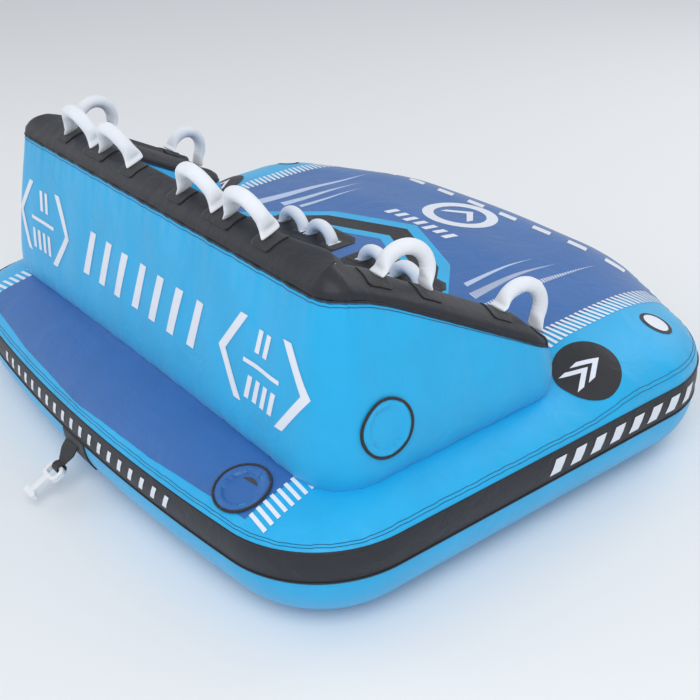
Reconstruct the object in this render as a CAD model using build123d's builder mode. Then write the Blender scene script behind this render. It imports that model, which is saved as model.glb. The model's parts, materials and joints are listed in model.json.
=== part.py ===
from build123d import *
from math import atan2, cos, degrees, hypot, radians, sin, tan
import os

os.makedirs("parts", exist_ok=True)

# Base hull. Plan points are corners of the girth outline on the +X side, from nose to stern.
NOSE_POINT, NOSE_R = (0, 795), 3000
BOW_POINT, BOW_R = (430, 773), 600
SHOULDER_POINT, SHOULDER_R = (927, 528), 250
STERN_CORNER, STERN_CORNER_R = (879, -720), 270
STERN_POINT, STERN_R = (0, -828), 5000
BILGE_R = 150
TOP_SEAM_Z = 236
LOW_SEAM_Z = 157
MARGIN_SLOPE = 20
MARGIN_Z = 290

# Raised deck inside the backrest.
DECK_Z = 350
DECK_FLANK = 60
DECK_REAR, DECK_REAR_R = (480, -259), 130
DECK_SIDE, DECK_SIDE_R = (650, 403), 200
DECK_FRONT, DECK_FRONT_R = (330, 560), 250

# Backrest, a C in plan. Its plan is drawn at the height of the top seam and leans in above it.
WALL_LEAN = 11.67
WALL_REAR, WALL_REAR_R = (808, -606), 160
WALL_END, WALL_END_R = (824, 132), 120
WALL_TIP, WALL_TIP_R = (598, 132), 120
WALL_INNER, WALL_INNER_R = (502, -266), 110
CREST_Z = 750
CREST_BEND_Y, CREST_BEND_R, CREST_SLOPE = -447, 120, 29.7
CREST_FILLET = 34
CREST_SPARE = 10
CAP_SEAM_Z, CAP_BEND_Y, CAP_SLOPE = 700, -477, 28.6
REACH = 1200
CREST_FACING = 0.8
UP = (0, 0, 1)

# Sheet thicknesses. A cover is sewn cloth, a bladder is welded film just inside it.
COVER_T = 3
BLADDER_GAP = 4
BLADDER_INNER = 7

# Valves and their access flaps.
COVER_HOLE_R = 45
BLADDER_HOLE_R = 22.5
FLANGE_R, FLANGE_T = 32, 2
TUBE_R, TUBE_BORE, TUBE_DEPTH = 22, 19, 34
CAP_R, CAP_T = 18.5, 6
CAP_KEY_L, CAP_KEY_W, CAP_KEY_T = 26, 5, 3
FLAP_R, FLAP_LOW, FLAP_HIGH = 58, 1.0, 2.2
BINDING_R, BINDING_LOW, BINDING_HIGH = 64, 0.8, 3.0
DECK_VALVE_XY = (588, -668)
WALL_VALVE_Y, WALL_VALVE_Z = -427, 411

# Grab handles: a foam sleeve on a webbing strap, over sewn base patches.
SLEEVE_R, SLEEVE_BORE = 17, 11.5
SLEEVE_TRIM = 0.14
STRAP_W, STRAP_T = 19, 3
HINGE_LIFT = 14
PAD_T, PAD_L, PAD_W = 3, 28, 34
REAR_SPAN, REAR_RISE, REAR_LEAN = 132, 60, 20
REAR_HANDLE_Y, REAR_HANDLE_X = -462, (385, 190)
WING_SPAN, WING_RISE = 120, 62
WING_HANDLES = ((682, -300), (725, 8))
WING_TURN = 7.5
DECK_SPAN, DECK_RISE = 104, 50
DECK_HANDLE_Y, DECK_HANDLE_X = 93, (120, 255)
PATCH_T, PATCH_X, PATCH_L, PATCH_W, PATCH_CUT = 1.5, 188, 290, 90, 28

# Tow points, one at the stern and one at the nose.
TOW_HINGE_Y, TOW_HINGE_Z = 796.5, 138
TOW_DROOP = 50
TOW_PATCH_W, TOW_PATCH_T = 110, 4
TOW_PATCH_Z = (70, 155)
STRAP_REACH, TOW_STRAP_W, TOW_STRAP_T = 58, 60, 4
NECK_W, LOOP_BORE, LOOP_T = 28, 10.6, 3
TOW_START = 1.5
EYE_BAR, EYE_T = 11, 16
EYE_W, EYE_L, SLOT_W, SLOT_L = 62, 44, 40, 21
SHANK_W, SHANK_END = 20, 84
HORN_W, HORN_T = 48, 14
CONNECTOR_FILLET = 3
CONNECTOR_RISE = 24

lean_ratio = tan(radians(WALL_LEAN))
crest_ratio = tan(radians(CREST_SLOPE))
margin_ratio = tan(radians(MARGIN_SLOPE))


def mirrored_outline(half, middle_first=None, middle_last=None):
    """Corner points and radii of a closed outline that is symmetric about x = 0."""
    left = [((-x, y), radius) for (x, y), radius in reversed(half)]
    first = [middle_first] if middle_first else []
    last = [middle_last] if middle_last else []
    corners = [*reversed(first + half + last + left)]
    return [point for point, _ in corners], [radius for _, radius in corners]


def plan(outline, z, inset):
    """Sketch of a rounded outline at height z, drawn in by an inset."""
    points, radii = outline
    with BuildSketch(Plane.XY.offset(z)) as sketch:
        with BuildLine():
            FilletPolyline(*points, radius=radii, close=True)
        make_face()
        if inset:
            offset(amount=-inset)
    return sketch.sketch


hull_outline = mirrored_outline(
    [
        (BOW_POINT, BOW_R),
        (SHOULDER_POINT, SHOULDER_R),
        (STERN_CORNER, STERN_CORNER_R),
    ],
    (NOSE_POINT, NOSE_R),
    (STERN_POINT, STERN_R),
)
deck_outline = mirrored_outline(
    [(DECK_FRONT, DECK_FRONT_R), (DECK_SIDE, DECK_SIDE_R), (DECK_REAR, DECK_REAR_R)]
)
wall_outline = mirrored_outline(
    [
        (WALL_INNER, WALL_INNER_R),
        (WALL_TIP, WALL_TIP_R),
        (WALL_END, WALL_END_R),
        (WALL_REAR, WALL_REAR_R),
    ]
)


def hull_body(inset):
    """Solid inside the base cover, drawn in by an inset on every face."""
    seam_z = TOP_SEAM_Z - inset * tan(radians(45 - MARGIN_SLOPE / 2))
    margin_z = MARGIN_Z - inset
    with BuildPart() as hull:
        extrude(plan(hull_outline, inset, inset), amount=seam_z - inset, dir=UP)
        fillet(hull.edges().group_by(Axis.Z)[0], radius=BILGE_R - inset)
        extrude(
            plan(hull_outline, seam_z, inset),
            amount=margin_z - seam_z,
            dir=UP,
            taper=90 - MARGIN_SLOPE,
        )
        extrude(
            plan(deck_outline, margin_z, inset),
            amount=DECK_Z - MARGIN_Z,
            dir=UP,
            taper=DECK_FLANK,
        )
    return hull.part


def ridge(z, bend_y, slope, inset=0):
    """Everything below a level line that turns down forward of a bend, right across the part."""
    drop = (REACH - bend_y) * tan(radians(slope))
    with BuildPart() as block:
        with BuildSketch(Plane.YZ):
            with BuildLine():
                FilletPolyline(
                    (-REACH, -REACH),
                    (-REACH, z),
                    (bend_y, z),
                    (REACH, z - drop),
                    (REACH, -REACH),
                    radius=[CREST_FILLET, CREST_FILLET, CREST_BEND_R, CREST_FILLET, CREST_FILLET],
                    close=True,
                )
            make_face()
            if inset:
                offset(amount=-inset)
        extrude(amount=REACH, both=True)
    return block.part


def is_crease(edge):
    """True for the lines across the crest where the level part turns down."""
    middle = edge.center()
    return abs(middle.Y - CREST_BEND_Y) < CREST_BEND_R / 3 and abs(middle.X) < PAD_L


def wall_body(inset):
    """Solid inside the backrest cover, drawn in by an inset on every face but its foot."""
    with BuildPart() as wall:
        extrude(
            plan(wall_outline, TOP_SEAM_Z, inset / cos(radians(WALL_LEAN))),
            amount=CREST_Z + CREST_SPARE - TOP_SEAM_Z,
            dir=UP,
            taper=WALL_LEAN,
        )
        add(ridge(CREST_Z, CREST_BEND_Y, CREST_SLOPE, inset), mode=Mode.INTERSECT)
        top = wall.faces().filter_by(lambda face: face.normal_at().Z > CREST_FACING)
        rim = top.edges().filter_by(lambda edge: not is_crease(edge))
        fillet(rim, radius=CREST_FILLET - inset)
    return wall.part


def finish(part, label):
    """Names one piece and writes its file."""
    part.label = label
    export_step(part, f"parts/{label}.step")


def disc(plane, radius, low, high, bore=0):
    """Cylinder or ring on a plane's normal, between two heights above the plane."""
    with BuildPart() as ring:
        with BuildSketch(plane.offset(low)):
            Circle(radius)
            if bore:
                Circle(bore, mode=Mode.SUBTRACT)
        extrude(amount=high - low)
    return ring.part


# Planes of the two valves: x runs level along the surface, y runs up it and z leaves it.
stern_turn = atan2(STERN_CORNER[1] - STERN_POINT[1], STERN_CORNER[0])
stern_distance = (DECK_VALVE_XY[1] - STERN_POINT[1]) * cos(stern_turn) - DECK_VALVE_XY[
    0
] * sin(stern_turn)
slope = radians(MARGIN_SLOPE)
deck_valve_plane = Plane(
    (*DECK_VALVE_XY, TOP_SEAM_Z + stern_distance * margin_ratio),
    x_dir=(cos(stern_turn), sin(stern_turn), 0),
    z_dir=(sin(stern_turn) * sin(slope), -cos(stern_turn) * sin(slope), cos(slope)),
)
side_turn = atan2(WALL_END[1] - WALL_REAR[1], WALL_END[0] - WALL_REAR[0])
side_x = WALL_REAR[0] + (WALL_VALVE_Y - WALL_REAR[1]) / tan(side_turn)
lean = radians(WALL_LEAN)
side_lean = lean_ratio / sin(side_turn)
wall_valve_plane = Plane(
    (side_x - (WALL_VALVE_Z - TOP_SEAM_Z) * side_lean, WALL_VALVE_Y, WALL_VALVE_Z),
    x_dir=(cos(side_turn), sin(side_turn), 0),
    z_dir=(sin(side_turn) * cos(lean), -cos(side_turn) * cos(lean), sin(lean)),
)

# Covers and bladders.
hull_outer = hull_body(0)
hull_shell = hull_outer - hull_body(COVER_T)
wall_shell = wall_body(0) - wall_body(COVER_T) - hull_outer
cap_line = ridge(CAP_SEAM_Z, CAP_BEND_Y, CAP_SLOPE)

with BuildPart() as deck_top_cover:
    add(hull_shell)
    split(bisect_by=Plane.XY.offset(TOP_SEAM_Z), keep=Keep.TOP)
    add(disc(deck_valve_plane, COVER_HOLE_R, -TUBE_DEPTH, TUBE_DEPTH), mode=Mode.SUBTRACT)
finish(deck_top_cover.part, "deck_top_cover")

with BuildPart() as side_band:
    add(hull_shell)
    split(bisect_by=Plane.XY.offset(TOP_SEAM_Z), keep=Keep.BOTTOM)
    split(bisect_by=Plane.XY.offset(LOW_SEAM_Z), keep=Keep.TOP)
finish(side_band.part, "side_band")

with BuildPart() as bottom_cover:
    add(hull_shell)
    split(bisect_by=Plane.XY.offset(LOW_SEAM_Z), keep=Keep.BOTTOM)
finish(bottom_cover.part, "bottom_cover")

with BuildPart() as deck_bladder:
    add(hull_body(BLADDER_GAP))
    add(hull_body(BLADDER_INNER), mode=Mode.SUBTRACT)
    add(disc(deck_valve_plane, BLADDER_HOLE_R, -TUBE_DEPTH, TUBE_DEPTH), mode=Mode.SUBTRACT)
finish(deck_bladder.part, "deck_bladder")

with BuildPart() as backrest_cover:
    add(wall_shell)
    add(cap_line, mode=Mode.INTERSECT)
    add(disc(wall_valve_plane, COVER_HOLE_R, -TUBE_DEPTH, TUBE_DEPTH), mode=Mode.SUBTRACT)
finish(backrest_cover.part, "backrest_cover")

with BuildPart() as backrest_top_cover:
    add(wall_shell)
    add(cap_line, mode=Mode.SUBTRACT)
finish(backrest_top_cover.part, "backrest_top_cover")

with BuildPart() as backrest_bladder:
    add(wall_body(BLADDER_GAP) - hull_body(-BLADDER_GAP))
    add(wall_body(BLADDER_INNER) - hull_body(-BLADDER_INNER), mode=Mode.SUBTRACT)
    add(disc(wall_valve_plane, BLADDER_HOLE_R, -TUBE_DEPTH, TUBE_DEPTH), mode=Mode.SUBTRACT)
finish(backrest_bladder.part, "backrest_bladder")


# Valves.
def valve_set(prefix, plane, body):
    """Valve, its twist cap, and the round flap with its binding that covers them."""
    with BuildPart() as valve_body:
        add(disc(plane, FLANGE_R, -BLADDER_GAP, FLANGE_T - BLADDER_GAP, TUBE_BORE))
        add(disc(plane, TUBE_R, -TUBE_DEPTH, FLANGE_T - BLADDER_GAP, TUBE_BORE))
    finish(valve_body.part, f"{prefix}_valve_body")

    cap_top = FLANGE_T - BLADDER_GAP - CAP_KEY_T
    with BuildPart() as valve_cap:
        add(disc(plane, CAP_R, cap_top - CAP_T, cap_top))
        with BuildSketch(plane.offset(cap_top)):
            SlotOverall(CAP_KEY_L, CAP_KEY_W)
        extrude(amount=CAP_KEY_T)
    finish(valve_cap.part, f"{prefix}_valve_cap")

    with BuildPart() as flap:
        add(body(-FLAP_HIGH) - body(-FLAP_LOW))
        add(disc(plane, FLAP_R, -TUBE_DEPTH, TUBE_DEPTH), mode=Mode.INTERSECT)
    finish(flap.part, f"{prefix}_valve_flap")

    with BuildPart() as binding:
        add(body(-BINDING_HIGH) - body(-BINDING_LOW))
        add(disc(plane, BINDING_R, -TUBE_DEPTH, TUBE_DEPTH, FLAP_R), mode=Mode.INTERSECT)
    finish(binding.part, f"{prefix}_valve_flap_binding")


valve_set("deck", deck_valve_plane, hull_body)
valve_set("backrest", wall_valve_plane, wall_body)


# Grab handles.
def handle(name, base, span, rise, lean_angle=0):
    """Foam sleeve and webbing strap on an arc whose chord is the line that the handle folds on."""
    leaned = base.rotated((lean_angle, 0, 0))
    arch = Plane(leaned.origin, x_dir=leaned.x_dir, z_dir=-leaned.y_dir)
    with BuildLine(arch) as path:
        ThreePointArc((-span / 2, 0), (0, rise), (span / 2, 0))
    line = path.edge()
    with BuildPart() as strap:
        with BuildSketch(Plane(line @ 0, x_dir=arch.z_dir, z_dir=line % 0)):
            Rectangle(STRAP_W, STRAP_T)
        sweep(path=line)
    held = line.trim(SLEEVE_TRIM, 1 - SLEEVE_TRIM)
    with BuildPart() as sleeve:
        with BuildSketch(Plane(held @ 0, x_dir=arch.z_dir, z_dir=held % 0)):
            Circle(SLEEVE_R)
            Circle(SLEEVE_BORE, mode=Mode.SUBTRACT)
        sweep(path=held)
    for piece, kind in ((strap.part, "strap"), (sleeve.part, "grip")):
        finish(piece, f"{name}_right_{kind}")
        finish(mirror(piece, about=Plane.YZ), f"{name}_left_{kind}")


def pad_blocks(base, span):
    """Blocks through the surface at both ends of a handle."""
    with BuildPart() as blocks:
        with Locations(*[base * Location((end * span / 2, 0, 0)) for end in (-1, 1)]):
            Box(PAD_L, PAD_W, 2 * HINGE_LIFT + PAD_T)
    return blocks.part


rear_bases = [
    Plane((x, REAR_HANDLE_Y, CREST_Z + HINGE_LIFT), x_dir=(1, 0, 0), z_dir=UP)
    for x in REAR_HANDLE_X
]
crest = radians(CREST_SLOPE)
wing_turn = radians(WING_TURN)
wing_bases = [
    Plane(
        (
            x,
            y + HINGE_LIFT * sin(crest),
            CREST_Z - (y - CREST_BEND_Y) * crest_ratio + HINGE_LIFT * cos(crest),
        ),
        x_dir=(sin(wing_turn), cos(wing_turn) * cos(crest), -cos(wing_turn) * sin(crest)),
        z_dir=(0, sin(crest), cos(crest)),
    )
    for x, y in WING_HANDLES
]
patch_top = DECK_Z + PATCH_T
deck_bases = [
    Plane((x, DECK_HANDLE_Y, patch_top + HINGE_LIFT), x_dir=(1, 0, 0), z_dir=UP)
    for x in DECK_HANDLE_X
]

for name, base in zip(("rear_outer", "rear_inner"), rear_bases):
    handle(f"{name}_handle", base, REAR_SPAN, REAR_RISE, REAR_LEAN)
for name, base in zip(("wing_rear", "wing_front"), wing_bases):
    handle(f"{name}_handle", base, WING_SPAN, WING_RISE)
for name, base in zip(("deck_inner", "deck_outer"), deck_bases):
    handle(f"{name}_handle", base, DECK_SPAN, DECK_RISE)

with BuildPart() as backrest_handle_bases:
    for base in rear_bases:
        add(pad_blocks(base, REAR_SPAN))
    for base in wing_bases:
        add(pad_blocks(base, WING_SPAN))
    mirror(about=Plane.YZ)
    add(wall_body(-PAD_T) - wall_body(0), mode=Mode.INTERSECT)
finish(backrest_handle_bases.part, "backrest_handle_bases")

with BuildPart() as deck_handle_bases:
    for base in deck_bases:
        with Locations(*[(base.origin.X + end * DECK_SPAN / 2, base.origin.Y) for end in (-1, 1)]):
            Box(
                PAD_L,
                PAD_W,
                patch_top + PAD_T,
                align=(Align.CENTER, Align.CENTER, Align.MIN),
            )
    split(bisect_by=Plane.XY.offset(patch_top), keep=Keep.TOP)
    mirror(about=Plane.YZ)
finish(deck_handle_bases.part, "deck_handle_bases")

with BuildPart() as deck_handle_patches:
    with BuildSketch(Plane.XY.offset(DECK_Z)):
        with Locations((PATCH_X, DECK_HANDLE_Y)):
            patch = Rectangle(PATCH_L, PATCH_W)
        chamfer(patch.vertices(), length=PATCH_CUT)
        mirror(about=Plane.YZ)
    extrude(amount=PATCH_T)
finish(deck_handle_patches.part, "deck_handle_patches")

# Tow points. Each is drawn at the stern in the plane x = 0, and turned about for the nose.
droop = radians(TOW_DROOP)
root = Plane((0, -TOW_HINGE_Y, TOW_HINGE_Z), x_dir=(0, -cos(droop), -sin(droop)), z_dir=(1, 0, 0))
root = Plane(root.origin, x_dir=root.x_dir, z_dir=(0, -sin(droop), cos(droop)))
eye_at = root * Location((STRAP_REACH + LOOP_BORE + LOOP_T, 0, 0))
rise = radians(CONNECTOR_RISE)
eye = Plane(
    eye_at.position,
    x_dir=(0, -cos(rise), -sin(rise)),
    z_dir=(0, -sin(rise), cos(rise)),
)

with BuildPart() as tow_strap:
    with BuildSketch(root.offset(-TOW_STRAP_T / 2)):
        with BuildLine():
            Polyline(
                (TOW_START, TOW_STRAP_W / 2),
                (STRAP_REACH - TOW_STRAP_W / 2, TOW_STRAP_W / 2),
                (STRAP_REACH, NECK_W / 2),
                (STRAP_REACH + LOOP_T, NECK_W / 2),
                (STRAP_REACH + LOOP_T, -NECK_W / 2),
                (STRAP_REACH, -NECK_W / 2),
                (STRAP_REACH - TOW_STRAP_W / 2, -TOW_STRAP_W / 2),
                (TOW_START, -TOW_STRAP_W / 2),
                close=True,
            )
        make_face()
    extrude(amount=TOW_STRAP_T)
    with BuildSketch(Plane(eye.origin, x_dir=eye.x_dir, z_dir=(1, 0, 0))):
        Circle(LOOP_BORE + LOOP_T)
        Circle(LOOP_BORE, mode=Mode.SUBTRACT)
    extrude(amount=NECK_W / 2, both=True)

with BuildPart() as connector:
    with BuildSketch(eye.offset(-EYE_T / 2)):
        with Locations((EYE_L / 2 - EYE_BAR / 2, 0)):
            RectangleRounded(EYE_L, EYE_W, EYE_L / 3)
        with Locations((SLOT_L / 2 + EYE_BAR / 2, 0)):
            RectangleRounded(SLOT_L, SLOT_W, SLOT_L / 3, mode=Mode.SUBTRACT)
    extrude(amount=EYE_T)
    fillet(connector.edges().filter_by(GeomType.CIRCLE, reverse=True), radius=CONNECTOR_FILLET)
    shank_start = EYE_L - EYE_BAR / 2 - CONNECTOR_FILLET
    with BuildSketch(eye.offset(-EYE_T / 2 + CONNECTOR_FILLET / 2)):
        with Locations(((shank_start + SHANK_END) / 2, 0)):
            Rectangle(SHANK_END - shank_start, SHANK_W)
    extrude(amount=EYE_T - CONNECTOR_FILLET)
    with BuildSketch(eye.offset(-EYE_T / 2)):
        with Locations((SHANK_END + HORN_T / 2, 0)):
            SlotOverall(HORN_W, HORN_T, rotation=90)
    extrude(amount=EYE_T)

with BuildPart() as tow_anchor:
    with BuildSketch(Plane.XZ):
        with Locations((0, sum(TOW_PATCH_Z) / 2)):
            Rectangle(TOW_PATCH_W, TOW_PATCH_Z[1] - TOW_PATCH_Z[0])
    extrude(amount=REACH, both=True)
    add(hull_body(-TOW_PATCH_T) - hull_outer, mode=Mode.INTERSECT)

stern_anchor = tow_anchor.part.solids().sort_by(Axis.Y)[0]
nose_anchor = tow_anchor.part.solids().sort_by(Axis.Y)[-1]
finish(Part(stern_anchor.wrapped), "rear_tow_anchor")
finish(Part(nose_anchor.wrapped), "front_tow_anchor")
for piece, kind in ((tow_strap.part, "tow_strap"), (connector.part, "quick_connector")):
    finish(piece, f"rear_{kind}")
    finish(mirror(piece, about=Plane.XZ), f"front_{kind}")
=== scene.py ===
import json
import math

import bmesh
import bpy
import numpy as np
from mathutils import Matrix, Vector
from mathutils.bvhtree import BVHTree


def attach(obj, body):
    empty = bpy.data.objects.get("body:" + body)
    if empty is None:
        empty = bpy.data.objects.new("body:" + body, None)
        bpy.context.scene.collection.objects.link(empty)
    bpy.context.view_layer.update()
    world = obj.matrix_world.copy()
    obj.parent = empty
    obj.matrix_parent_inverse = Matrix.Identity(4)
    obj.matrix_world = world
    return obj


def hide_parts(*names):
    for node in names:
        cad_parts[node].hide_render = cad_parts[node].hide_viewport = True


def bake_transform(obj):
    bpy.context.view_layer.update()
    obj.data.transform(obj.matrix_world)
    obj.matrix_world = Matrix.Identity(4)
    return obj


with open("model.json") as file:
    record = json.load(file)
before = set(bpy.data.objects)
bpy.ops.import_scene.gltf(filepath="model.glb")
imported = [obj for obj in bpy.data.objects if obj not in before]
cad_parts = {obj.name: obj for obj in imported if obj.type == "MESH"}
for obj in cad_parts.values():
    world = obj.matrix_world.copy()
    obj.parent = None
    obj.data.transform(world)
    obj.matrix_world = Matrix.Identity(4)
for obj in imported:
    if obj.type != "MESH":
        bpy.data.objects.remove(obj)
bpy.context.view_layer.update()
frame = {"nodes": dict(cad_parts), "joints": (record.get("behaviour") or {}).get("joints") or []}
MM = 0.001

# ---------------------------------------------------------------- outlines, in millimetres
HULL = [((0, 795), 3000), ((430, 773), 600), ((927, 528), 250), ((879, -720), 270), ((0, -828), 5000)]
WALL = [((502, -266), 110), ((598, 132), 120), ((824, 132), 120), ((808, -606), 160)]
SEAM_Z, LOW_Z, BILGE = 236.0, 157.0, 150.0
LEAN = math.tan(math.radians(11.67))
CREST_Z, CREST_BEND_Y, BEND_BLEND, CREST_FALL = 750, -447, 35, 0.5704
CAP_DEPTH = 50
VALLEY_Z, DECK_Z, CROWN = 291, 350, 26


def smooth(a, b, x):
    t = np.clip((x - a) / (b - a), 0, 1)
    return t * t * (3 - 2 * t)


def mirrored(half, closed_middle):
    ends = (0, -1) if closed_middle else ()
    skip = [half[i][0] for i in ends]
    left = [((-x, y), r) for (x, y), r in reversed(half) if (x, y) not in skip]
    return [*half, *left][::-1]


def outline(corners, count):
    """Evenly spaced points, outward normals and arc length of a closed rounded outline."""
    pts = []
    n = len(corners)
    for i, (p, r) in enumerate(corners):
        p = np.array(p, float)
        a = np.array(corners[i - 1][0], float) - p
        b = np.array(corners[(i + 1) % n][0], float) - p
        a /= np.linalg.norm(a)
        b /= np.linalg.norm(b)
        half = math.acos(np.clip(a @ b, -1, 1)) / 2
        reach = r / math.tan(half)
        centre = p + (a + b) / np.linalg.norm(a + b) * r / math.sin(half)
        s, e = p + a * reach - centre, p + b * reach - centre
        turn = math.pi - 2 * half
        side = math.copysign(1, s[0] * e[1] - s[1] * e[0])
        for k in range(41):
            t = side * turn * k / 40
            c, q = math.cos(t), math.sin(t)
            pts.append(centre + (s[0] * c - s[1] * q, s[0] * q + s[1] * c))
    pts = np.array(pts)
    loop = np.vstack([pts, pts[:1]])
    run = np.r_[0, np.cumsum(np.linalg.norm(np.diff(loop, axis=0), axis=1))]
    at = np.linspace(0, run[-1], count, endpoint=False)
    out = np.stack([np.interp(at, run, loop[:, k]) for k in (0, 1)], 1)
    d = np.roll(out, -1, 0) - np.roll(out, 1, 0)
    d /= np.linalg.norm(d, axis=1)[:, None]
    return out, np.stack([d[:, 1], -d[:, 0]], 1), at


hull_p, hull_n, hull_s = outline(mirrored(HULL, True), 560)
wall_p, wall_n, wall_s = outline(mirrored(WALL, False), 640)


def hull_inset(x, y):
    """Distance of points inside the girth outline from it."""
    q = np.stack([np.ravel(x), np.ravel(y)], 1)
    best = np.full(len(q), 1e9)
    for k in range(0, len(q), 4000):
        gap = q[k : k + 4000, None, :] - hull_p[None]
        best[k : k + 4000] = np.sqrt((gap**2).sum(2).min(1))
    return best.reshape(np.shape(x))


def wave(s, *terms):
    """Sum of gentle waves along a length: (wavelength, amplitude, phase) each."""
    return sum(a * np.sin(2 * math.pi * s / w + p) for w, a, p in terms)


def top_z(x, y, d):
    """Height of the printed top cover, with its valley along the backrest's foot."""
    x, y, d = (np.asarray(v, float) for v in (x, y, d))
    stern = smooth(-430, -640, y)
    valley_d = 104 + 92 * stern
    t = np.clip(d / valley_d, 0, 1)
    margin = SEAM_Z + (VALLEY_Z - SEAM_Z) * t + 11 * np.sin(math.pi * t**0.8)
    under = VALLEY_Z + (DECK_Z - VALLEY_Z) * smooth(valley_d + 15, valley_d + 190, d)
    rear = np.where(d < valley_d, margin, under)
    u = np.clip(d / 235, 0, 1)
    front = SEAM_Z + 112 * np.sqrt(1 - (1 - u) ** 2)
    z = rear + (front - rear) * smooth(72, 250, y)
    crown = CROWN * np.clip(1 - (x / 760) ** 2, 0, 1) * smooth(180, 420, d)
    return z + crown


def foot_z(x, y):
    return top_z(x, y, hull_inset(x, y)) - 3


def crest_z(y):
    """Level at the rear, then falling along the wings past a rounded bend."""
    return CREST_Z - BEND_BLEND * np.log1p(np.exp((y - CREST_BEND_Y) / BEND_BLEND)) * CREST_FALL


def cap_z(y):
    return crest_z(y) - CAP_DEPTH


# ---------------------------------------------------------------- mesh helpers
def new_object(name, verts, faces, smooth_shade=True):
    mesh = bpy.data.meshes.new(name)
    mesh.from_pydata([tuple(v) for v in np.asarray(verts) * MM], [], faces)
    mesh.update()
    obj = bpy.data.objects.new(name, mesh)
    bpy.context.scene.collection.objects.link(obj)
    if smooth_shade:
        mesh.polygons.foreach_set("use_smooth", [True] * len(mesh.polygons))
    return obj


def rings_to_mesh(name, rings, cap=None, flip=False):
    """Quads between closed rings of equal count; cap closes the last ring to a point."""
    rings = [np.asarray(r, float) for r in rings]
    n = len(rings[0])
    verts = np.vstack(rings)
    faces = []
    for k in range(len(rings) - 1):
        a, b = k * n, (k + 1) * n
        for i in range(n):
            j = (i + 1) % n
            face = (a + i, a + j, b + j, b + i)
            faces.append(face[::-1] if flip else face)
    if cap is not None:
        verts = np.vstack([verts, [cap]])
        last, mid = (len(rings) - 1) * n, len(verts) - 1
        for i in range(n):
            face = (last + i, last + (i + 1) % n, mid)
            faces.append(face[::-1] if flip else face)
    return new_object(name, verts, faces)


def thicken(obj, amount):
    mod = obj.modifiers.new("thickness", "SOLIDIFY")
    mod.thickness = amount * MM
    mod.offset = -1
    apply_modifiers(obj)


def apply_modifiers(obj):
    graph = bpy.context.evaluated_depsgraph_get()
    mesh = bpy.data.meshes.new_from_object(obj.evaluated_get(graph))
    obj.modifiers.clear()
    obj.data = mesh


def tube(name, points, radius, closed=False):
    """Round cord mesh along points, used for piping and stitched seams."""
    curve = bpy.data.curves.new(name, "CURVE")
    curve.dimensions = "3D"
    curve.bevel_depth = radius * MM
    curve.bevel_resolution = 1
    spline = curve.splines.new("POLY")
    spline.points.add(len(points) - 1)
    for point, p in zip(spline.points, np.asarray(points) * MM):
        point.co = (*p, 1)
    spline.use_cyclic_u = closed
    helper = bpy.data.objects.new(name + "_curve", curve)
    bpy.context.scene.collection.objects.link(helper)
    graph = bpy.context.evaluated_depsgraph_get()
    mesh = bpy.data.meshes.new_from_object(helper.evaluated_get(graph))
    bpy.data.objects.remove(helper)
    bpy.data.curves.remove(curve)
    mesh.polygons.foreach_set("use_smooth", [True] * len(mesh.polygons))
    obj = bpy.data.objects.new(name, mesh)
    bpy.context.scene.collection.objects.link(obj)
    return obj


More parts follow.
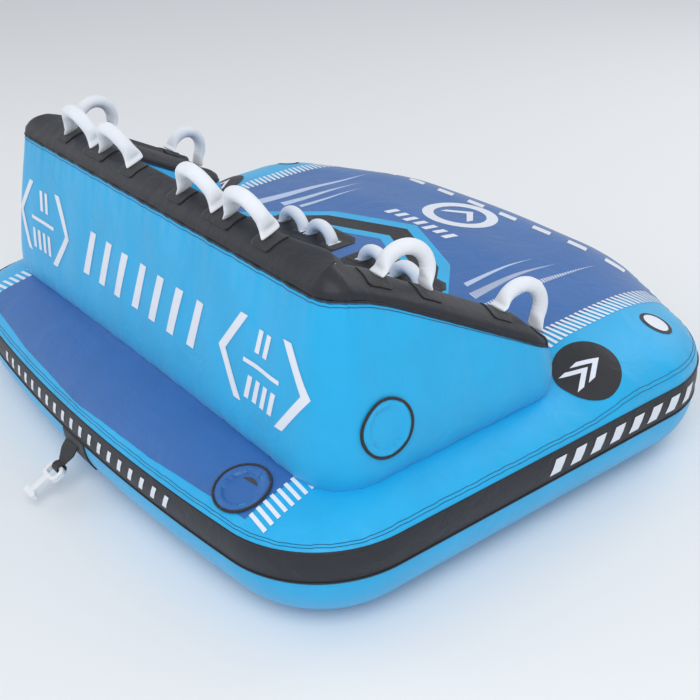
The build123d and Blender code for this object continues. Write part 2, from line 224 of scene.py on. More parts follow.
# ---------------------------------------------------------------- materials
def material(name, color, rough=0.42, weave=1.0, wrinkle=0.35, sheen=0.15, vary=0.08, coat=0.0, scale=520):
    mat = bpy.data.materials.new(name)
    mat.use_nodes = True
    tree = mat.node_tree
    nodes, link = tree.nodes, tree.links.new
    bsdf = nodes["Principled BSDF"]
    coord = nodes.new("ShaderNodeTexCoord")

    def node(kind, **values):
        made = nodes.new(kind)
        for key, value in values.items():
            if hasattr(made, key):
                setattr(made, key, value)
            else:
                made.inputs[key.replace("_", " ")].default_value = value
        return made

    cloud = node("ShaderNodeTexNoise", Scale=7.0, Detail=4.0, Roughness=0.55)
    link(coord.outputs["Object"], cloud.inputs["Vector"])
    ramp = nodes.new("ShaderNodeValToRGB")
    dark = tuple(c * (1 - vary) for c in color)
    light = tuple(min(1, c * (1 + vary)) for c in color)
    ramp.color_ramp.elements[0].position = 0.32
    ramp.color_ramp.elements[0].color = (*dark, 1)
    ramp.color_ramp.elements[1].position = 0.68
    ramp.color_ramp.elements[1].color = (*light, 1)
    link(cloud.outputs["Fac"], ramp.inputs["Fac"])
    link(ramp.outputs["Color"], bsdf.inputs["Base Color"])
    fine = node("ShaderNodeTexNoise", Scale=90.0, Detail=2.0)
    link(coord.outputs["Object"], fine.inputs["Vector"])
    gloss = nodes.new("ShaderNodeMapRange")
    gloss.inputs["To Min"].default_value = rough - 0.06
    gloss.inputs["To Max"].default_value = rough + 0.08
    link(fine.outputs["Fac"], gloss.inputs["Value"])
    link(gloss.outputs["Result"], bsdf.inputs["Roughness"])
    height = None
    if weave:
        total = None
        for axis in ("X", "Y", "Z"):
            band = nodes.new("ShaderNodeTexWave")
            band.bands_direction = axis
            band.inputs["Scale"].default_value = scale / 3
            link(coord.outputs["Object"], band.inputs["Vector"])
            if total is None:
                total = band.outputs["Fac"]
            else:
                add = nodes.new("ShaderNodeMath")
                add.operation = "ADD"
                link(total, add.inputs[0])
                link(band.outputs["Fac"], add.inputs[1])
                total = add.outputs["Value"]
        bump = nodes.new("ShaderNodeBump")
        bump.inputs["Strength"].default_value = 0.18 * weave
        bump.inputs["Distance"].default_value = 0.0004
        link(total, bump.inputs["Height"])
        height = bump
    if wrinkle:
        fold = node("ShaderNodeTexNoise", Scale=9.0, Detail=3.0, Roughness=0.5, Distortion=1.2)
        link(coord.outputs["Object"], fold.inputs["Vector"])
        bump = nodes.new("ShaderNodeBump")
        bump.inputs["Strength"].default_value = wrinkle
        bump.inputs["Distance"].default_value = 0.010
        link(fold.outputs["Fac"], bump.inputs["Height"])
        if height:
            link(height.outputs["Normal"], bump.inputs["Normal"])
        height = bump
    if height:
        link(height.outputs["Normal"], bsdf.inputs["Normal"])
    bsdf.inputs["Sheen Weight"].default_value = sheen
    bsdf.inputs["Coat Weight"].default_value = coat
    bsdf.inputs["Coat Roughness"].default_value = 0.3
    return mat


LIGHT_BLUE = (0.002, 0.41, 0.78)
DARK_BLUE = (0.019, 0.13, 0.41)
BLACK = (0.009, 0.011, 0.018)
WHITE = (0.80, 0.83, 0.88)
cover_mat = material("cover_light_blue", LIGHT_BLUE, vary=0.05)
dark_mat = material("print_dark_blue", DARK_BLUE, vary=0.05)
black_mat = material("band_black", BLACK, rough=0.5, vary=0.2, wrinkle=0.5, sheen=0.04)
print_black = material("print_black", (0.014, 0.015, 0.020), rough=0.5, vary=0.1, sheen=0.04)
print_white = material("print_white", (0.78, 0.82, 0.90), rough=0.45, vary=0.02, wrinkle=0.3)
print_pale = material("print_pale_blue", (0.50, 0.60, 0.82), rough=0.45, vary=0.03, wrinkle=0.3)
grip_mat = material("grip_white", WHITE, rough=0.75, weave=1.4, wrinkle=0.6, sheen=0.35, vary=0.04, scale=700)
web_mat = material(
    "webbing_black", (0.014, 0.014, 0.018), rough=0.7, weave=2.5, wrinkle=0.0, vary=0.2, scale=900
)
thread_mat = material("thread_dark", (0.004, 0.06, 0.16), rough=0.6, weave=0.0, wrinkle=0.0)
film_mat = material("bladder_film", (0.30, 0.33, 0.36), rough=0.3, weave=0.0, coat=0.3)
plastic_white = material(
    "connector_white", (0.78, 0.80, 0.84), rough=0.35, weave=0.0, wrinkle=0.06, vary=0.02, coat=0.25
)
plastic_black = material("valve_plastic", (0.03, 0.032, 0.036), rough=0.4, weave=0.0, wrinkle=0.05, coat=0.1)


def dress(obj, mat, body="root", replaces=()):
    obj.data.materials.clear()
    obj.data.materials.append(mat)
    if body:
        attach(obj, body)
    if replaces:
        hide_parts(*replaces)
    return obj


# ---------------------------------------------------------------- base hull
def hull_ring(inset, z):
    p = hull_p - hull_n * inset
    return np.column_stack([p, np.broadcast_to(z, len(p))])


def band_bulge(z):
    """The band stands slightly proud between its two seams."""
    t = (z - LOW_Z) / (SEAM_Z - LOW_Z)
    return 4 * math.sin(math.pi * t) if 0 < t < 1 else 0.0


def pucker(s, depth):
    return depth * wave(s, (61, 0.5, 0.3), (37, 0.35, 1.7), (23, 0.22, 0.9), (149, 0.5, 2.2))


def hull_top_rings(inset):
    rings = []
    steps = [0, 2, 5, 9, 14, 20, 28, 38, 50, 64, 80, 96, 112, 130, 150, 172, 196, 220, 235]
    for d in steps:
        p = hull_p - hull_n * (d + inset)
        z = top_z(p[:, 0], p[:, 1], np.full(len(p), float(d)))
        z = z + pucker(hull_s, 1.6) * math.exp(-((d - 16) ** 2) / 260) - inset
        rings.append(np.column_stack([p, z]))
    base = hull_p - hull_n * (235 + inset)
    for t in np.linspace(0.04, 0.97, 34):
        p = base * (1 - t)
        z = top_z(p[:, 0], p[:, 1], hull_inset(p[:, 0], p[:, 1])) - inset
        rings.append(np.column_stack([p, z]))
    return rings


def side_rings(z_from, z_to, count, inset=0.0):
    rings = []
    for z in np.linspace(z_from, z_to, count):
        p = hull_p - hull_n * (inset - band_bulge(z))
        rings.append(np.column_stack([p, np.full(len(p), z)]))
    return rings


def bottom_rings(inset=0.0):
    rings = [hull_ring(inset, LOW_Z), hull_ring(inset, BILGE + 2)]
    for k in range(1, 15):
        a = math.pi / 2 * k / 14
        drawn_in = BILGE * (1 - math.cos(a)) + inset * math.cos(a)
        rings.append(hull_ring(drawn_in, BILGE * (1 - math.sin(a)) + inset))
    base = hull_p - hull_n * BILGE
    for t in (0.2, 0.4, 0.6, 0.8, 0.95):
        rings.append(np.column_stack([base * (1 - t), np.full(len(base), inset)]))
    return rings


middle_z = float(top_z(0, 0, 700))
deck_cover = rings_to_mesh("deck_cover", hull_top_rings(0), (0, 0, middle_z))
girth_band = rings_to_mesh("girth_band", side_rings(LOW_Z, SEAM_Z, 9))
hull_cover = rings_to_mesh("hull_cover", bottom_rings(), (0, 0, 0), flip=True)
inner = bottom_rings(5)[::-1] + side_rings(LOW_Z + 8, SEAM_Z - 10, 4, 6) + hull_top_rings(6)
deck_film = rings_to_mesh("deck_bladder_film", inner, (0, 0, middle_z - 6))


def cut_hole(obj, node, radius):
    """Opens the cover over a valve, round the axis of its CAD valve body."""
    joint = next(j for j in frame["joints"] if j["child"] == node.replace("body", "cap"))
    axis = Vector(joint["axis"])
    centre = Vector(joint["pos_m"])
    bm = bmesh.new()
    bm.from_mesh(obj.data)

    def radial(v):
        rel = v.co - centre
        along = rel.dot(axis)
        return along, rel - axis * along

    near = [v for v in bm.verts if abs(radial(v)[0]) < 0.05 and radial(v)[1].length < radius * MM * 2.2]
    edges = {e for v in near for e in v.link_edges}
    bmesh.ops.subdivide_edges(bm, edges=list(edges), cuts=2, use_grid_fill=True)
    gone = [v for v in bm.verts if abs(radial(v)[0]) < 0.05 and radial(v)[1].length < radius * MM]
    bmesh.ops.delete(bm, geom=gone, context="VERTS")
    for v in bm.verts:
        along, out = radial(v)
        if v.is_boundary and abs(along) < 0.05 and out.length < radius * MM * 1.6:
            v.co = centre + axis * along + out.normalized() * radius * MM
    bm.to_mesh(obj.data)
    bm.free()
    obj.data.polygons.foreach_set("use_smooth", [True] * len(obj.data.polygons))


# ---------------------------------------------------------------- backrest
def half_width(points, normals):
    """How far each outline point may move in before it meets the other side."""
    width = np.full(len(points), 240.0)
    for t in np.arange(60, 240, 2.0):
        q = points - normals * t
        gap = np.sqrt(((q[:, None] - points[None]) ** 2).sum(2)).min(1)
        width = np.where((gap < t - 1.5) & (width > t), t, width)
    kernel = np.hanning(15)
    kernel /= kernel.sum()
    wrapped = np.r_[width[-7:], width, width[:7]]
    return np.convolve(wrapped, kernel, "valid")


wall_half = half_width(wall_p, wall_n)
wall_foot = foot_z(wall_p[:, 0], wall_p[:, 1])


def wall_profile(z, foot, cap):
    """Inset of the backrest's side at height z: lean, a tuck at the foot and a soft bulge."""
    t = np.clip((z - foot) / (cap - foot), 0, 1)
    tuck = 26 * np.exp(-(z - foot) / 26)
    return LEAN * (z - SEAM_Z) + tuck - 7 * np.sin(math.pi * t) ** 0.8


def wall_rings(shrink=0.0, part="side"):
    rings = []
    cap = None
    for _ in range(3):
        guess = wall_p - wall_n * (0 if cap is None else (LEAN * (cap - SEAM_Z))[:, None])
        cap = np.maximum(cap_z(guess[:, 1]), wall_foot + 60)
    if part == "side":
        for t in np.r_[0, 0.03, 0.07, 0.12, np.linspace(0.18, 0.9, 18), 0.94, 0.97, 1]:
            z = wall_foot + (cap - wall_foot) * t
            inset = wall_profile(z, wall_foot, cap) + shrink
            crease = np.exp(-(((1 - t) / 0.12) ** 2)) + 0.8 * np.exp(-((t / 0.10) ** 2))
            inset = inset + pucker(wall_s + 40, 1.8) * crease
            inset = inset + 1.6 * wave(wall_s, (230, 1, 0.4), (131, 0.6, 2.0)) * math.sin(math.pi * t)
            p = wall_p - wall_n * inset[:, None]
            rings.append(np.column_stack([p, z]))
        return rings
    start = wall_profile(cap, wall_foot, cap) + shrink
    room = np.maximum(wall_half - start, 12)
    for k in range(0, 17):
        a = math.pi / 2 * k / 16
        inset = start + room * (1 - math.cos(a)) - (1.5 if 0 < k < 5 else 0)
        ripple = pucker(wall_s * 1.3, 1.2) * math.cos(a) ** 2
        p = wall_p - wall_n * inset[:, None]
        z = cap + (CAP_DEPTH - shrink) * math.sin(a) ** 0.92 + ripple * math.sin(a)
        rings.append(np.column_stack([p, z]))
    return rings


def close_crest(rings):
    """Averages the last ring onto the backrest's middle line, so that the crest has no slit."""
    last = rings[-1]
    gap = np.sqrt(((last[:, None, :2] - last[None, :, :2]) ** 2).sum(2))
    index = np.arange(len(last))
    apart = np.abs(index[:, None] - index[None])
    apart = np.minimum(apart, len(last) - apart)
    gap[apart < 12] = 1e6
    twin = gap.argmin(1)
    joined = (last + last[twin]) / 2
    near = gap.min(1) < 60
    rings[-1] = np.where(near[:, None], joined, last)
    return rings


def crest_mesh(name, shrink):
    rings = close_crest(wall_rings(shrink, "cap"))
    obj = rings_to_mesh(name, rings)
    bm = bmesh.new()
    bm.from_mesh(obj.data)
    n = len(wall_p)
    bm.verts.ensure_lookup_table()
    last = bm.verts[-n:]
    bmesh.ops.remove_doubles(bm, verts=last, dist=0.004)
    loop = [e for e in bm.edges if e.is_boundary and all(v.co.z > 0 for v in e.verts)]
    top = [e for e in loop if not any(v.index < n for v in e.verts)]
    if top:
        bmesh.ops.holes_fill(bm, edges=top, sides=0)
        bmesh.ops.triangulate(bm, faces=[f for f in bm.faces if len(f.verts) > 4])
    bm.to_mesh(obj.data)
    bm.free()
    obj.data.polygons.foreach_set("use_smooth", [True] * len(obj.data.polygons))
    return obj


back_cover = rings_to_mesh("backrest_side_cover", wall_rings())
back_cap = crest_mesh("backrest_crest_cover", 0)
film_rings = wall_rings(5) + close_crest(wall_rings(5, "cap"))[1:]
back_film = rings_to_mesh("backrest_bladder_film", film_rings)

COVER_HOLE_R = 45
cut_hole(deck_cover, "deck_valve_body", COVER_HOLE_R)
cut_hole(back_cover, "backrest_valve_body", COVER_HOLE_R)


def tree_of(*objs):
    verts, faces = [], []
    for o in objs:
        start = len(verts)
        verts += [v.co.copy() for v in o.data.vertices]
        faces += [[start + i for i in p.vertices] for p in o.data.polygons]
    return BVHTree.FromPolygons(verts, faces)


deck_tree = tree_of(deck_cover)
side_tree = tree_of(back_cover)
crest_tree = tree_of(back_cover, back_cap)
band_tree = tree_of(girth_band)

# ---------------------------------------------------------------- prints and patches
UP = Vector((0, 0, 1))


def plane(origin, x_dir, z_dir):
    """Matrix whose z leaves the surface, in metres."""
    z = Vector(z_dir).normalized()
    x = (Vector(x_dir) - z * Vector(x_dir).dot(z)).normalized()
    y = z.cross(x)
    m = Matrix((x, y, z)).transposed().to_4x4()
    m.translation = Vector(origin) * MM
    return m


def laid(
    name, polygons, where, tree, mat, lift=0.9, thick=0.0, grain=22, ride="root", replaces=()
):
    """Flat outlines, in millimetres on a plane, laid on a surface under that plane."""
    bm = bmesh.new()
    for poly in polygons:
        verts = [bm.verts.new((x * MM, y * MM, 0)) for x, y in poly]
        bm.faces.new(verts)
    bmesh.ops.triangulate(bm, faces=bm.faces[:])
    for _ in range(7):
        long = [e for e in bm.edges if e.calc_length() > grain * MM]
        if not long:
            break
        bmesh.ops.subdivide_edges(bm, edges=long, cuts=1)
        bmesh.ops.triangulate(bm, faces=[f for f in bm.faces if len(f.verts) > 3])
    normal = (where.to_3x3() @ UP).normalized()
    missed = []
    for v in bm.verts:
        start = where @ v.co
        hit, face_normal, _, _ = tree.ray_cast(start + normal * 0.25, -normal, 1.2)
        if hit is None:
            missed.append(v)
            continue
        if face_normal.dot(normal) < 0:
            face_normal = -face_normal
        v.co = hit + face_normal * lift * MM
    if missed:
        bmesh.ops.delete(bm, geom=missed, context="VERTS")
    bm.normal_update()
    if bm.faces and sum((f.normal.dot(normal) for f in bm.faces)) < 0:
        bmesh.ops.reverse_faces(bm, faces=bm.faces[:])
    mesh = bpy.data.meshes.new(name)
    bm.to_mesh(mesh)
    bm.free()
    mesh.polygons.foreach_set("use_smooth", [True] * len(mesh.polygons))
    obj = bpy.data.objects.new(name, mesh)
    bpy.context.scene.collection.objects.link(obj)
    if thick:
        thicken(obj, thick)
    return dress(obj, mat, ride, replaces)


def both(polygons):
    return polygons + [[(-x, y) for x, y in reversed(p)] for p in polygons]


def facing(polys):
    """Every outline wound the same way round."""
    out = []
    for p in polys:
        area = sum(a[0] * b[1] - b[0] * a[1] for a, b in zip(p, p[1:] + p[:1]))
        out.append(p if area > 0 else p[::-1])
    return out


def ring_poly(cx, cy, r_out, r_in=0.0, a0=0.0, a1=360.0, steps=40, squash_y=1.0):
    def arc(r, s, e):
        return [
            (cx + r * math.cos(math.radians(a)), cy + r * squash_y * math.sin(math.radians(a)))
            for a in np.linspace(s, e, steps)
        ]

    if not r_in:
        return [arc(r_out, a0, a1)[:-1]]
    cuts = np.linspace(a0, a1, 9)
    steps = 8
    return [arc(r_out, s, e) + arc(r_in, e, s) for s, e in zip(cuts[:-1], cuts[1:])]


deck_plane = plane((0, 0, 700), (1, 0, 0), UP)
deck_field = [
    (-640, -330), (640, -330), (652, 40), (656, 627), (560, 676), (430, 740),
    (200, 763), (-200, 763), (-430, 740), (-560, 676), (-656, 627), (-652, 40),
]
laid("print_deck_field", [deck_field], deck_plane, deck_tree, dark_mat, 0.7, grain=26)
stern_field = [(-655, -545), (-660, -712), (-330, -752), (0, -771), (330, -752), (660, -712), (655, -545)]
laid("print_stern_field", [stern_field], deck_plane, deck_tree, dark_mat, 0.7, grain=20)


def vee(front_apex, front_corner, back_corner, back_apex, leg_front, leg_back):
    """One stripe of the V across the deck, with its two legs."""
    (xf, yf), (xb, yb) = front_corner, back_corner
    bar = [(-xf, yf), (0, front_apex), (xf, yf), (xb, yb), (0, back_apex), (-xb, yb)][::-1]
    leg = [(xf, yf), leg_front, leg_back, (xb, yb)][::-1]
    return [bar] + both([leg])


VEES = (
    ("outer", vee(352, (256, 246), (246, 212), 315, (560, -60), (500, -60)), cover_mat),
    ("middle", vee(315, (246, 212), (228, 150), 248, (500, -60), (420, -60)), print_black),
    ("inner", vee(248, (228, 150), (216, 116), 212, (420, -60), (365, -60)), cover_mat),
)
for name, shape, mat in VEES:
    laid(f"print_vee_{name}", shape, deck_plane, deck_tree, mat, 1.2)


def streak(start, end, width, sway, parts=1):
    """Speed line that tapers from a wide foot to a point; parts above 1 make it hatched."""
    a, b = np.array(start, float), np.array(end, float)
    out = []
    marks = np.linspace(0, 1, parts * 2 if parts > 1 else 9)
    def mid(t):
        return a + (b - a) * t + np.array([sway * math.sin(math.pi * t), 0])
    spans = zip(marks[:-1:2], marks[1::2]) if parts > 1 else zip(marks[:-1], marks[1:])
    for s, e in spans:
        ws, we = width * (1 - s) / 2, width * (1 - e) / 2 + 0.4
        p, q = mid(s), mid(e)
        out.append([(p[0] - ws, p[1]), (p[0] + ws, p[1] - 6), (q[0] + we, q[1] - 6), (q[0] - we, q[1])])
    return out


solid = streak((-494, 134), (-484, 577), 44, 14)
solid += streak((-422, 171), (-420, 486), 32, 10)
solid += streak((-366, 199), (-365, 452), 20, 6)
laid("print_streaks_far", solid, deck_plane, deck_tree, print_pale, 1.2)
hatched = streak((494, 134), (484, 577), 44, -14, 46) + streak((422, 171), (420, 486), 32, -10, 40)
laid("print_streaks_hatched", hatched, deck_plane, deck_tree, print_white, 1.2)
laid("print_streak_near", streak((366, 199), (365, 452), 20, -6), deck_plane, deck_tree, print_pale, 1.2)
ticks = [[(640, y), (700, y + 10), (700, y + 19), (640, y + 9)] for y in np.arange(98, 590, 17.5)]
laid("print_edge_ticks", both(ticks), deck_plane, deck_tree, print_white, 1.3)
stern_ticks = []
for y in np.arange(-560, -712, -19):
    slip = (y + 545) * -0.08
    stern_ticks.append([(648 + slip, y), (706 + slip, y - 4), (706 + slip, y - 13), (648 + slip, y - 9)])
laid("print_stern_ticks", both(stern_ticks), deck_plane, deck_tree, print_white, 1.3)
laid("print_roundels", both(ring_poly(800, 176, 82)), deck_plane, deck_tree, print_black, 1.2)
chev = []
for y in (112, 150):
    for side in (-30, 30):
        chev.append([(800 + side, y), (800, y + 46), (800, y + 68), (800 + side, y + 22)])
laid("print_roundel_marks", facing(both(chev)), deck_plane, deck_tree, print_white, 1.8)
laid("print_badges", both(ring_poly(786, 452, 44, squash_y=0.8)), deck_plane, deck_tree, print_black, 1.2)
badge_discs = both(ring_poly(786, 452, 34, squash_y=0.74))
laid("print_badge_discs", badge_discs, deck_plane, deck_tree, print_white, 1.8)
laid("print_emblem", ring_poly(0, 528, 120, 84, squash_y=0.92), deck_plane, deck_tree, print_white, 1.2)
emblem_wave = facing(both([[(0, 556), (58, 500), (58, 526), (0, 584)]]))
laid("print_emblem_wave", emblem_wave, deck_plane, deck_tree, print_white, 1.3)
bars = []
for i, x in enumerate(range(-150, 140, 42)):
    foot = 352 + i % 2 * 5
    bars.append([(x, foot), (x + 22, foot), (x + 34, 392), (x + 12, 392)])
laid("print_small_bars", bars, deck_plane, deck_tree, print_white, 1.3)
nose = [[(x, 640), (x + 70, 640), (x + 50, 672), (x - 20, 672)] for x in range(-500, 470, 138)]
laid("print_nose_bars", nose, deck_plane, deck_tree, print_white, 1.4)

stern_plane = Matrix.Translation((0, -0.75, 0)) @ plane((0, 0, 0), (1, 0, 0), (0, -1, 0))


def chevron(tip, wing, half, z, width):
    """Arrow outline that points along x from its open side to its tip."""
    w = math.copysign(width, tip - wing)
    return [
        [(wing, z + half), (wing - w, z + half), (tip - w, z), (tip, z)],
        [(tip, z), (tip - w, z), (wing - w, z - half), (wing, z - half)],
    ]


marks = []
for side in (-1, 1):
    marks += chevron(side * 370, side * 440, 98, 490, 26)
    marks += chevron(side * 694, side * 622, 98, 490, 26)
    marks += [[(side * 464, 486), (side * 599, 486), (side * 599, 496), (side * 464, 496)]]
    marks += [[(side * (500 + k * 30), 520), (side * (516 + k * 30), 520), (side * (526 + k * 30), 575),
               (side * (510 + k * 30), 575)] for k in range(2)]
    marks += [[(side * (476 + k * 30), 408), (side * (492 + k * 30), 408), (side * (502 + k * 30), 462),
               (side * (486 + k * 30), 462)] for k in range(4)]
for k in range(7):
    x = -282 + k * 86
    marks += [[(x, 432), (x + 30, 432), (x + 62, 552), (x + 32, 552)]]


laid("print_backrest", facing(marks), stern_plane, side_tree, print_white, 1.2, grain=16)
band_marks = [[(x, 178), (x + 15, 178), (x + 33, 216), (x + 18, 216)] for x in range(-430, 420, 47)]
band_plane = Matrix.Translation((0, -0.15, 0)) @ stern_plane
laid("print_band_stern", facing(band_marks), band_plane, band_tree, print_white, 1.2)
band_ring = ring_poly(-520, 197, 24, 15)
laid("print_band_ring", facing(band_ring), band_plane, band_tree, print_white, 1.2)
for name, side, start, stop in (("near", 1, -60, 420), ("far", -1, -420, 60)):
    where = Matrix.Translation((side * 1.1, 0, 0)) @ plane((0, 0, 0), (0, side, 0), (side, 0, 0))
    slab = [[(x, 176), (x + 34, 176), (x + 52, 216), (x + 18, 216)] for x in range(start, stop, 66)]
    laid(f"print_band_{name}", facing(slab), where, band_tree, print_white, 1.2)

# ---------------------------------------------------------------- seams
dress(tube("piping_top_seam", hull_ring(-1.2, SEAM_Z), 2.6, True), black_mat)
dress(tube("piping_low_seam", hull_ring(-1.0, LOW_Z), 2.4, True), black_mat)
for k, d in enumerate((9, 15)):
    p = hull_p - hull_n * d
    z = top_z(p[:, 0], p[:, 1], np.full(len(p), float(d)))
    z = z + pucker(hull_s, 1.6) * math.exp(-((d - 16) ** 2) / 260) + 0.3
    dress(tube(f"stitch_top_seam_{k}", np.column_stack([p, z]), 0.8, True), thread_mat)
side = wall_rings()
cap_line = side[-1].copy()
cap_line[:, :2] += wall_n * 1.2
dress(tube("piping_cap_seam", cap_line, 2.4, True), black_mat)
for k, (row, mix) in enumerate(((-2, 0.35), (-2, 0.9))):
    line = side[row] * mix + side[-1] * (1 - mix)
    line[:, :2] += wall_n * 0.4
    dress(tube(f"stitch_cap_seam_{k}", line, 0.8, True), thread_mat)
foot = side[0].copy()
foot[:, :2] += wall_n * 2
foot[:, 2] += 1.5
dress(tube("piping_foot_seam", foot, 2.6, True), thread_mat)

# ---------------------------------------------------------------- covers take their places
dress(deck_cover, cover_mat, replaces=["deck_top_cover"])
dress(girth_band, black_mat, replaces=["side_band"])
dress(hull_cover, cover_mat, replaces=["bottom_cover"])
dress(deck_film, film_mat, replaces=["deck_bladder"])
dress(back_cover, cover_mat, replaces=["backrest_cover"])
dress(back_cap, black_mat, replaces=["backrest_top_cover"])
dress(back_film, film_mat, replaces=["backrest_bladder"])

# ---------------------------------------------------------------- grab handles
SLEEVE_R, HEM_SPREAD, HEM_SQUASH = 17.5, 8.5, 12.5
joints = {j["child"]: j for j in frame["joints"]}
CREST_DIR = Vector((0, math.sin(math.radians(29.7)), math.cos(math.radians(29.7))))


def grip(body, span, rise, normal, lean, tree, seed):
    """Foam sleeve whose flattened ends are sewn down on the surface."""
    joint = joints[body]
    axis = Vector(joint["axis"]).normalized()
    centre = Vector(joint["pos_m"]) / MM
    out = (Matrix.Rotation(math.radians(lean), 3, axis) @ normal).normalized()
    across = axis.cross(out)
    radius = (span**2 / 4 + rise**2) / (2 * rise)
    sweep = math.asin(min(1, span / 2 / radius))
    if rise > radius:
        sweep = math.pi - sweep
    path = []
    for a in np.linspace(-sweep, sweep, 33):
        path.append(centre + axis * radius * math.sin(a) + out * (radius * math.cos(a) - radius + rise))
    for end in (0, -1):
        sign = -1 if end == 0 else 1
        extra = []
        for k, drop in enumerate((6, 12, 17)):
            q = path[end] + axis * sign * (drop * 0.55) - normal * drop
            extra.append(q)
        foot_point = extra[-1] * MM
        hit = tree.ray_cast(foot_point + normal * 0.08, -normal, 0.25)[0]
        if hit is not None:
            shift = hit / MM + normal * 5 - extra[-1]
            for k in range(3):
                extra[k] = extra[k] + shift * ((k + 1) / 3)
        path = extra[::-1] + path if end == 0 else path + extra
    path = np.array([list(p) for p in path])
    tangent = np.gradient(path, axis=0)
    tangent /= np.linalg.norm(tangent, axis=1)[:, None]
    run = np.r_[0, np.cumsum(np.linalg.norm(np.diff(path, axis=0), axis=1))]
    total = run[-1]
    rings = []
    side_dir = np.array(across)
    for p, t, r in zip(path, tangent, run):
        from_end = min(r, total - r)
        flat = float(1 - smooth(4, 46, np.array(from_end)))
        wide = SLEEVE_R + HEM_SPREAD * flat
        deep = SLEEVE_R - HEM_SQUASH * flat
        up = np.cross(side_dir, t)
        up /= np.linalg.norm(up)
        ring_pts = []
        for a in np.linspace(0, 2 * math.pi, 28, endpoint=False):
            inside = max(0.0, -math.sin(a) * math.copysign(1, up @ np.array(out)))
            crease = 1 + 0.05 * inside * math.sin(r * 0.42 + seed) * (1 - flat)
            crease += 0.02 * math.sin(3 * a + r * 0.05 + seed)
            ring_pts.append(p + side_dir * wide * crease * math.cos(a) + up * deep * crease * math.sin(a))
        rings.append(np.array(ring_pts))
    obj = rings_to_mesh(body + "_sleeve", rings)
    bm = bmesh.new()
    bm.from_mesh(obj.data)
    ends = [e for e in bm.edges if e.is_boundary]
    bmesh.ops.holes_fill(bm, edges=ends, sides=0)
    bmesh.ops.recalc_face_normals(bm, faces=bm.faces[:])
    bm.to_mesh(obj.data)
    bm.free()
    obj.data.polygons.foreach_set("use_smooth", [True] * len(obj.data.polygons))
    sub = obj.modifiers.new("round", "SUBSURF")
    sub.levels = 1
    sub.render_levels = 1
    apply_modifiers(obj)
    dress(obj, grip_mat, None, [body + "_grip"])
    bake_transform(obj)
    return [rings[0].mean(0), rings[-1].mean(0)], axis


SETS = (
    ("rear_outer", 132, 60, UP, 20), ("rear_inner", 132, 60, UP, 20),
    ("wing_rear", 120, 62, CREST_DIR, 0), ("wing_front", 120, 62, CREST_DIR, 0),
    ("deck_inner", 104, 50, UP, 0), ("deck_outer", 104, 50, UP, 0),
)
pads = {"crest": [], "deck": []}
for index, (kind, span, rise, normal, lean) in enumerate(SETS):
    for side_name in ("right", "left"):
        body = f"{kind}_handle_{side_name}"
        tree = deck_tree if kind.startswith("deck") else crest_tree
        ends, axis = grip(body, span, rise, normal, lean, tree, index * 1.7)
        for tag, point in zip("ab", ends):
            where = plane(point, axis, normal)
            corner = [(-26, -34), (26, -34), (32, -28), (32, 28), (26, 34), (-26, 34), (-32, 28), (-32, -28)]
            key = "deck" if kind.startswith("deck") else "crest"
            pads[key].append(laid(f"pad_{body}_{tag}", [corner], where, tree, web_mat, 2.6, 1.6, 8))


def joined(name, parts):
    with bpy.context.temp_override(active_object=parts[0], selected_editable_objects=parts, object=parts[0]):
        bpy.ops.object.join()
    parts[0].name = name
    return parts[0]


crest_pads = joined("crest_handle_pads", pads["crest"])
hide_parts("backrest_handle_bases")
deck_pads = joined("deck_handle_pads", pads["deck"])
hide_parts("deck_handle_bases")
patch = [(25, 48), (53, 23), (327, 23), (355, 48), (355, 138), (327, 163), (53, 163), (25, 138)]
laid("deck_handle_patch", both([patch]), deck_plane, deck_tree, print_black, 1.9, 1.2, 20,
     replaces=["deck_handle_patches"])

# ---------------------------------------------------------------- valve flaps
for prefix, tree in (("deck", deck_tree), ("backrest", side_tree)):
    whole = tree_of(*( [deck_film, deck_cover] if prefix == "deck" else [back_film, back_cover]))
    turn = joints[f"{prefix}_valve_cap"]
    fold = joints[f"{prefix}_valve_flap"]
    where = plane(Vector(turn["pos_m"]) / MM, fold["axis"], turn["axis"])
    cloth_mat = dark_mat if prefix == "deck" else cover_mat
    laid(f"{prefix}_flap_cloth", ring_poly(0, 0, 62), where, whole, cloth_mat, 4.0, 1.0, 9,
         f"{prefix}_valve_flap", [f"{prefix}_valve_flap"])
    laid(f"{prefix}_flap_edge", ring_poly(0, 0, 67, 60.5, steps=24), where, whole, web_mat, 5.2, 2.4, 5,
         f"{prefix}_valve_flap", [f"{prefix}_valve_flap_binding"])

# ---------------------------------------------------------------- carried-over CAD nodes
for node, obj in frame["nodes"].items():
    if "connector" in node:
        mat = plastic_white
    elif "valve" in node:
        mat = plastic_black
    else:
        mat = web_mat
    obj.data.materials.clear()
    obj.data.materials.append(mat)

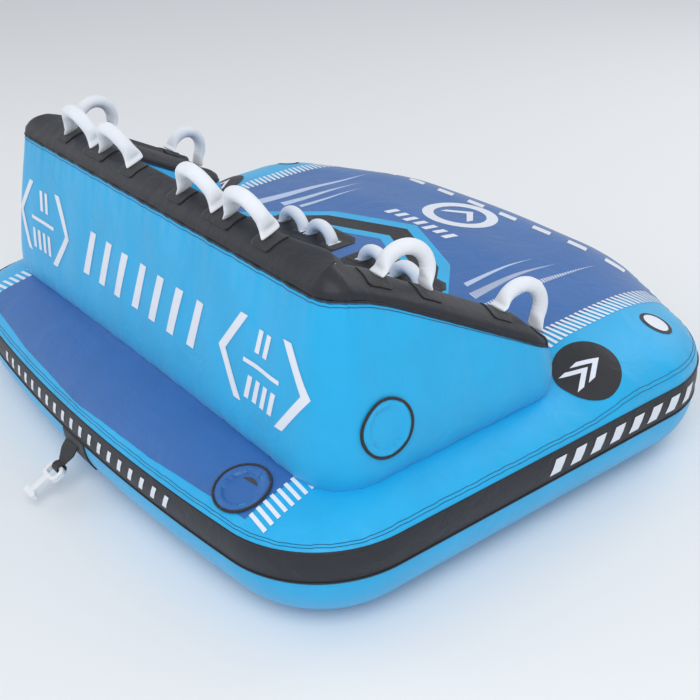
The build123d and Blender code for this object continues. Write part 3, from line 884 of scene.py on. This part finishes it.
# ---------------------------------------------------------------- stage, light and camera
bpy.ops.mesh.primitive_plane_add(size=60, location=(0, 0, -0.0005))
floor = bpy.context.object
floor.name = "floor"
pale = bpy.data.materials.new("floor_pale")
pale.use_nodes = True
pale.node_tree.nodes["Principled BSDF"].inputs["Base Color"].default_value = (0.86, 0.87, 0.88, 1)
pale.node_tree.nodes["Principled BSDF"].inputs["Roughness"].default_value = 0.9
floor.data.materials.append(pale)


def area_light(name, place, target, power, size):
    data = bpy.data.lights.new(name, "AREA")
    data.energy = power
    data.size = size
    obj = bpy.data.objects.new(name, data)
    bpy.context.scene.collection.objects.link(obj)
    obj.location = place
    obj.rotation_euler = (Vector(target) - Vector(place)).to_track_quat("-Z", "Y").to_euler()


area_light("key", (2.6, -2.2, 3.8), (0, 0, 0.3), 95, 3.0)
area_light("fill", (-3.4, -2.6, 2.6), (0, 0, 0.3), 30, 3.5)
area_light("rim", (0.5, 4.0, 3.2), (0, 0, 0.3), 45, 3.0)
world = bpy.data.worlds.new("studio")
bpy.context.scene.world = world
world.use_nodes = True
world.node_tree.nodes["Background"].inputs["Color"].default_value = (0.93, 0.96, 1.0, 1)
world.node_tree.nodes["Background"].inputs["Strength"].default_value = 0.62

azimuth, elevation, roll = (math.radians(v) for v in (52.42, 30.31, -2.37))
flat_x, flat_y = math.sin(azimuth) * math.cos(elevation), -math.cos(azimuth) * math.cos(elevation)
back = Vector((flat_x, flat_y, math.sin(elevation)))
level = (-back).cross(UP).normalized()
rise_dir = level.cross(-back)
right = level * math.cos(roll) + rise_dir * math.sin(roll)
over = rise_dir * math.cos(roll) - level * math.sin(roll)
camera_data = bpy.data.cameras.new("camera")
camera_data.lens = 55.31
camera_data.sensor_width = 36
camera_data.clip_end = 100
camera = bpy.data.objects.new("camera", camera_data)
bpy.context.scene.collection.objects.link(camera)
placed = Matrix((right, over, back)).transposed().to_4x4()
placed.translation = Vector((2178, -1590, 1662)) * MM
camera.matrix_world = placed
bpy.context.scene.camera = camera
bpy.context.scene.view_settings.view_transform = "Standard"
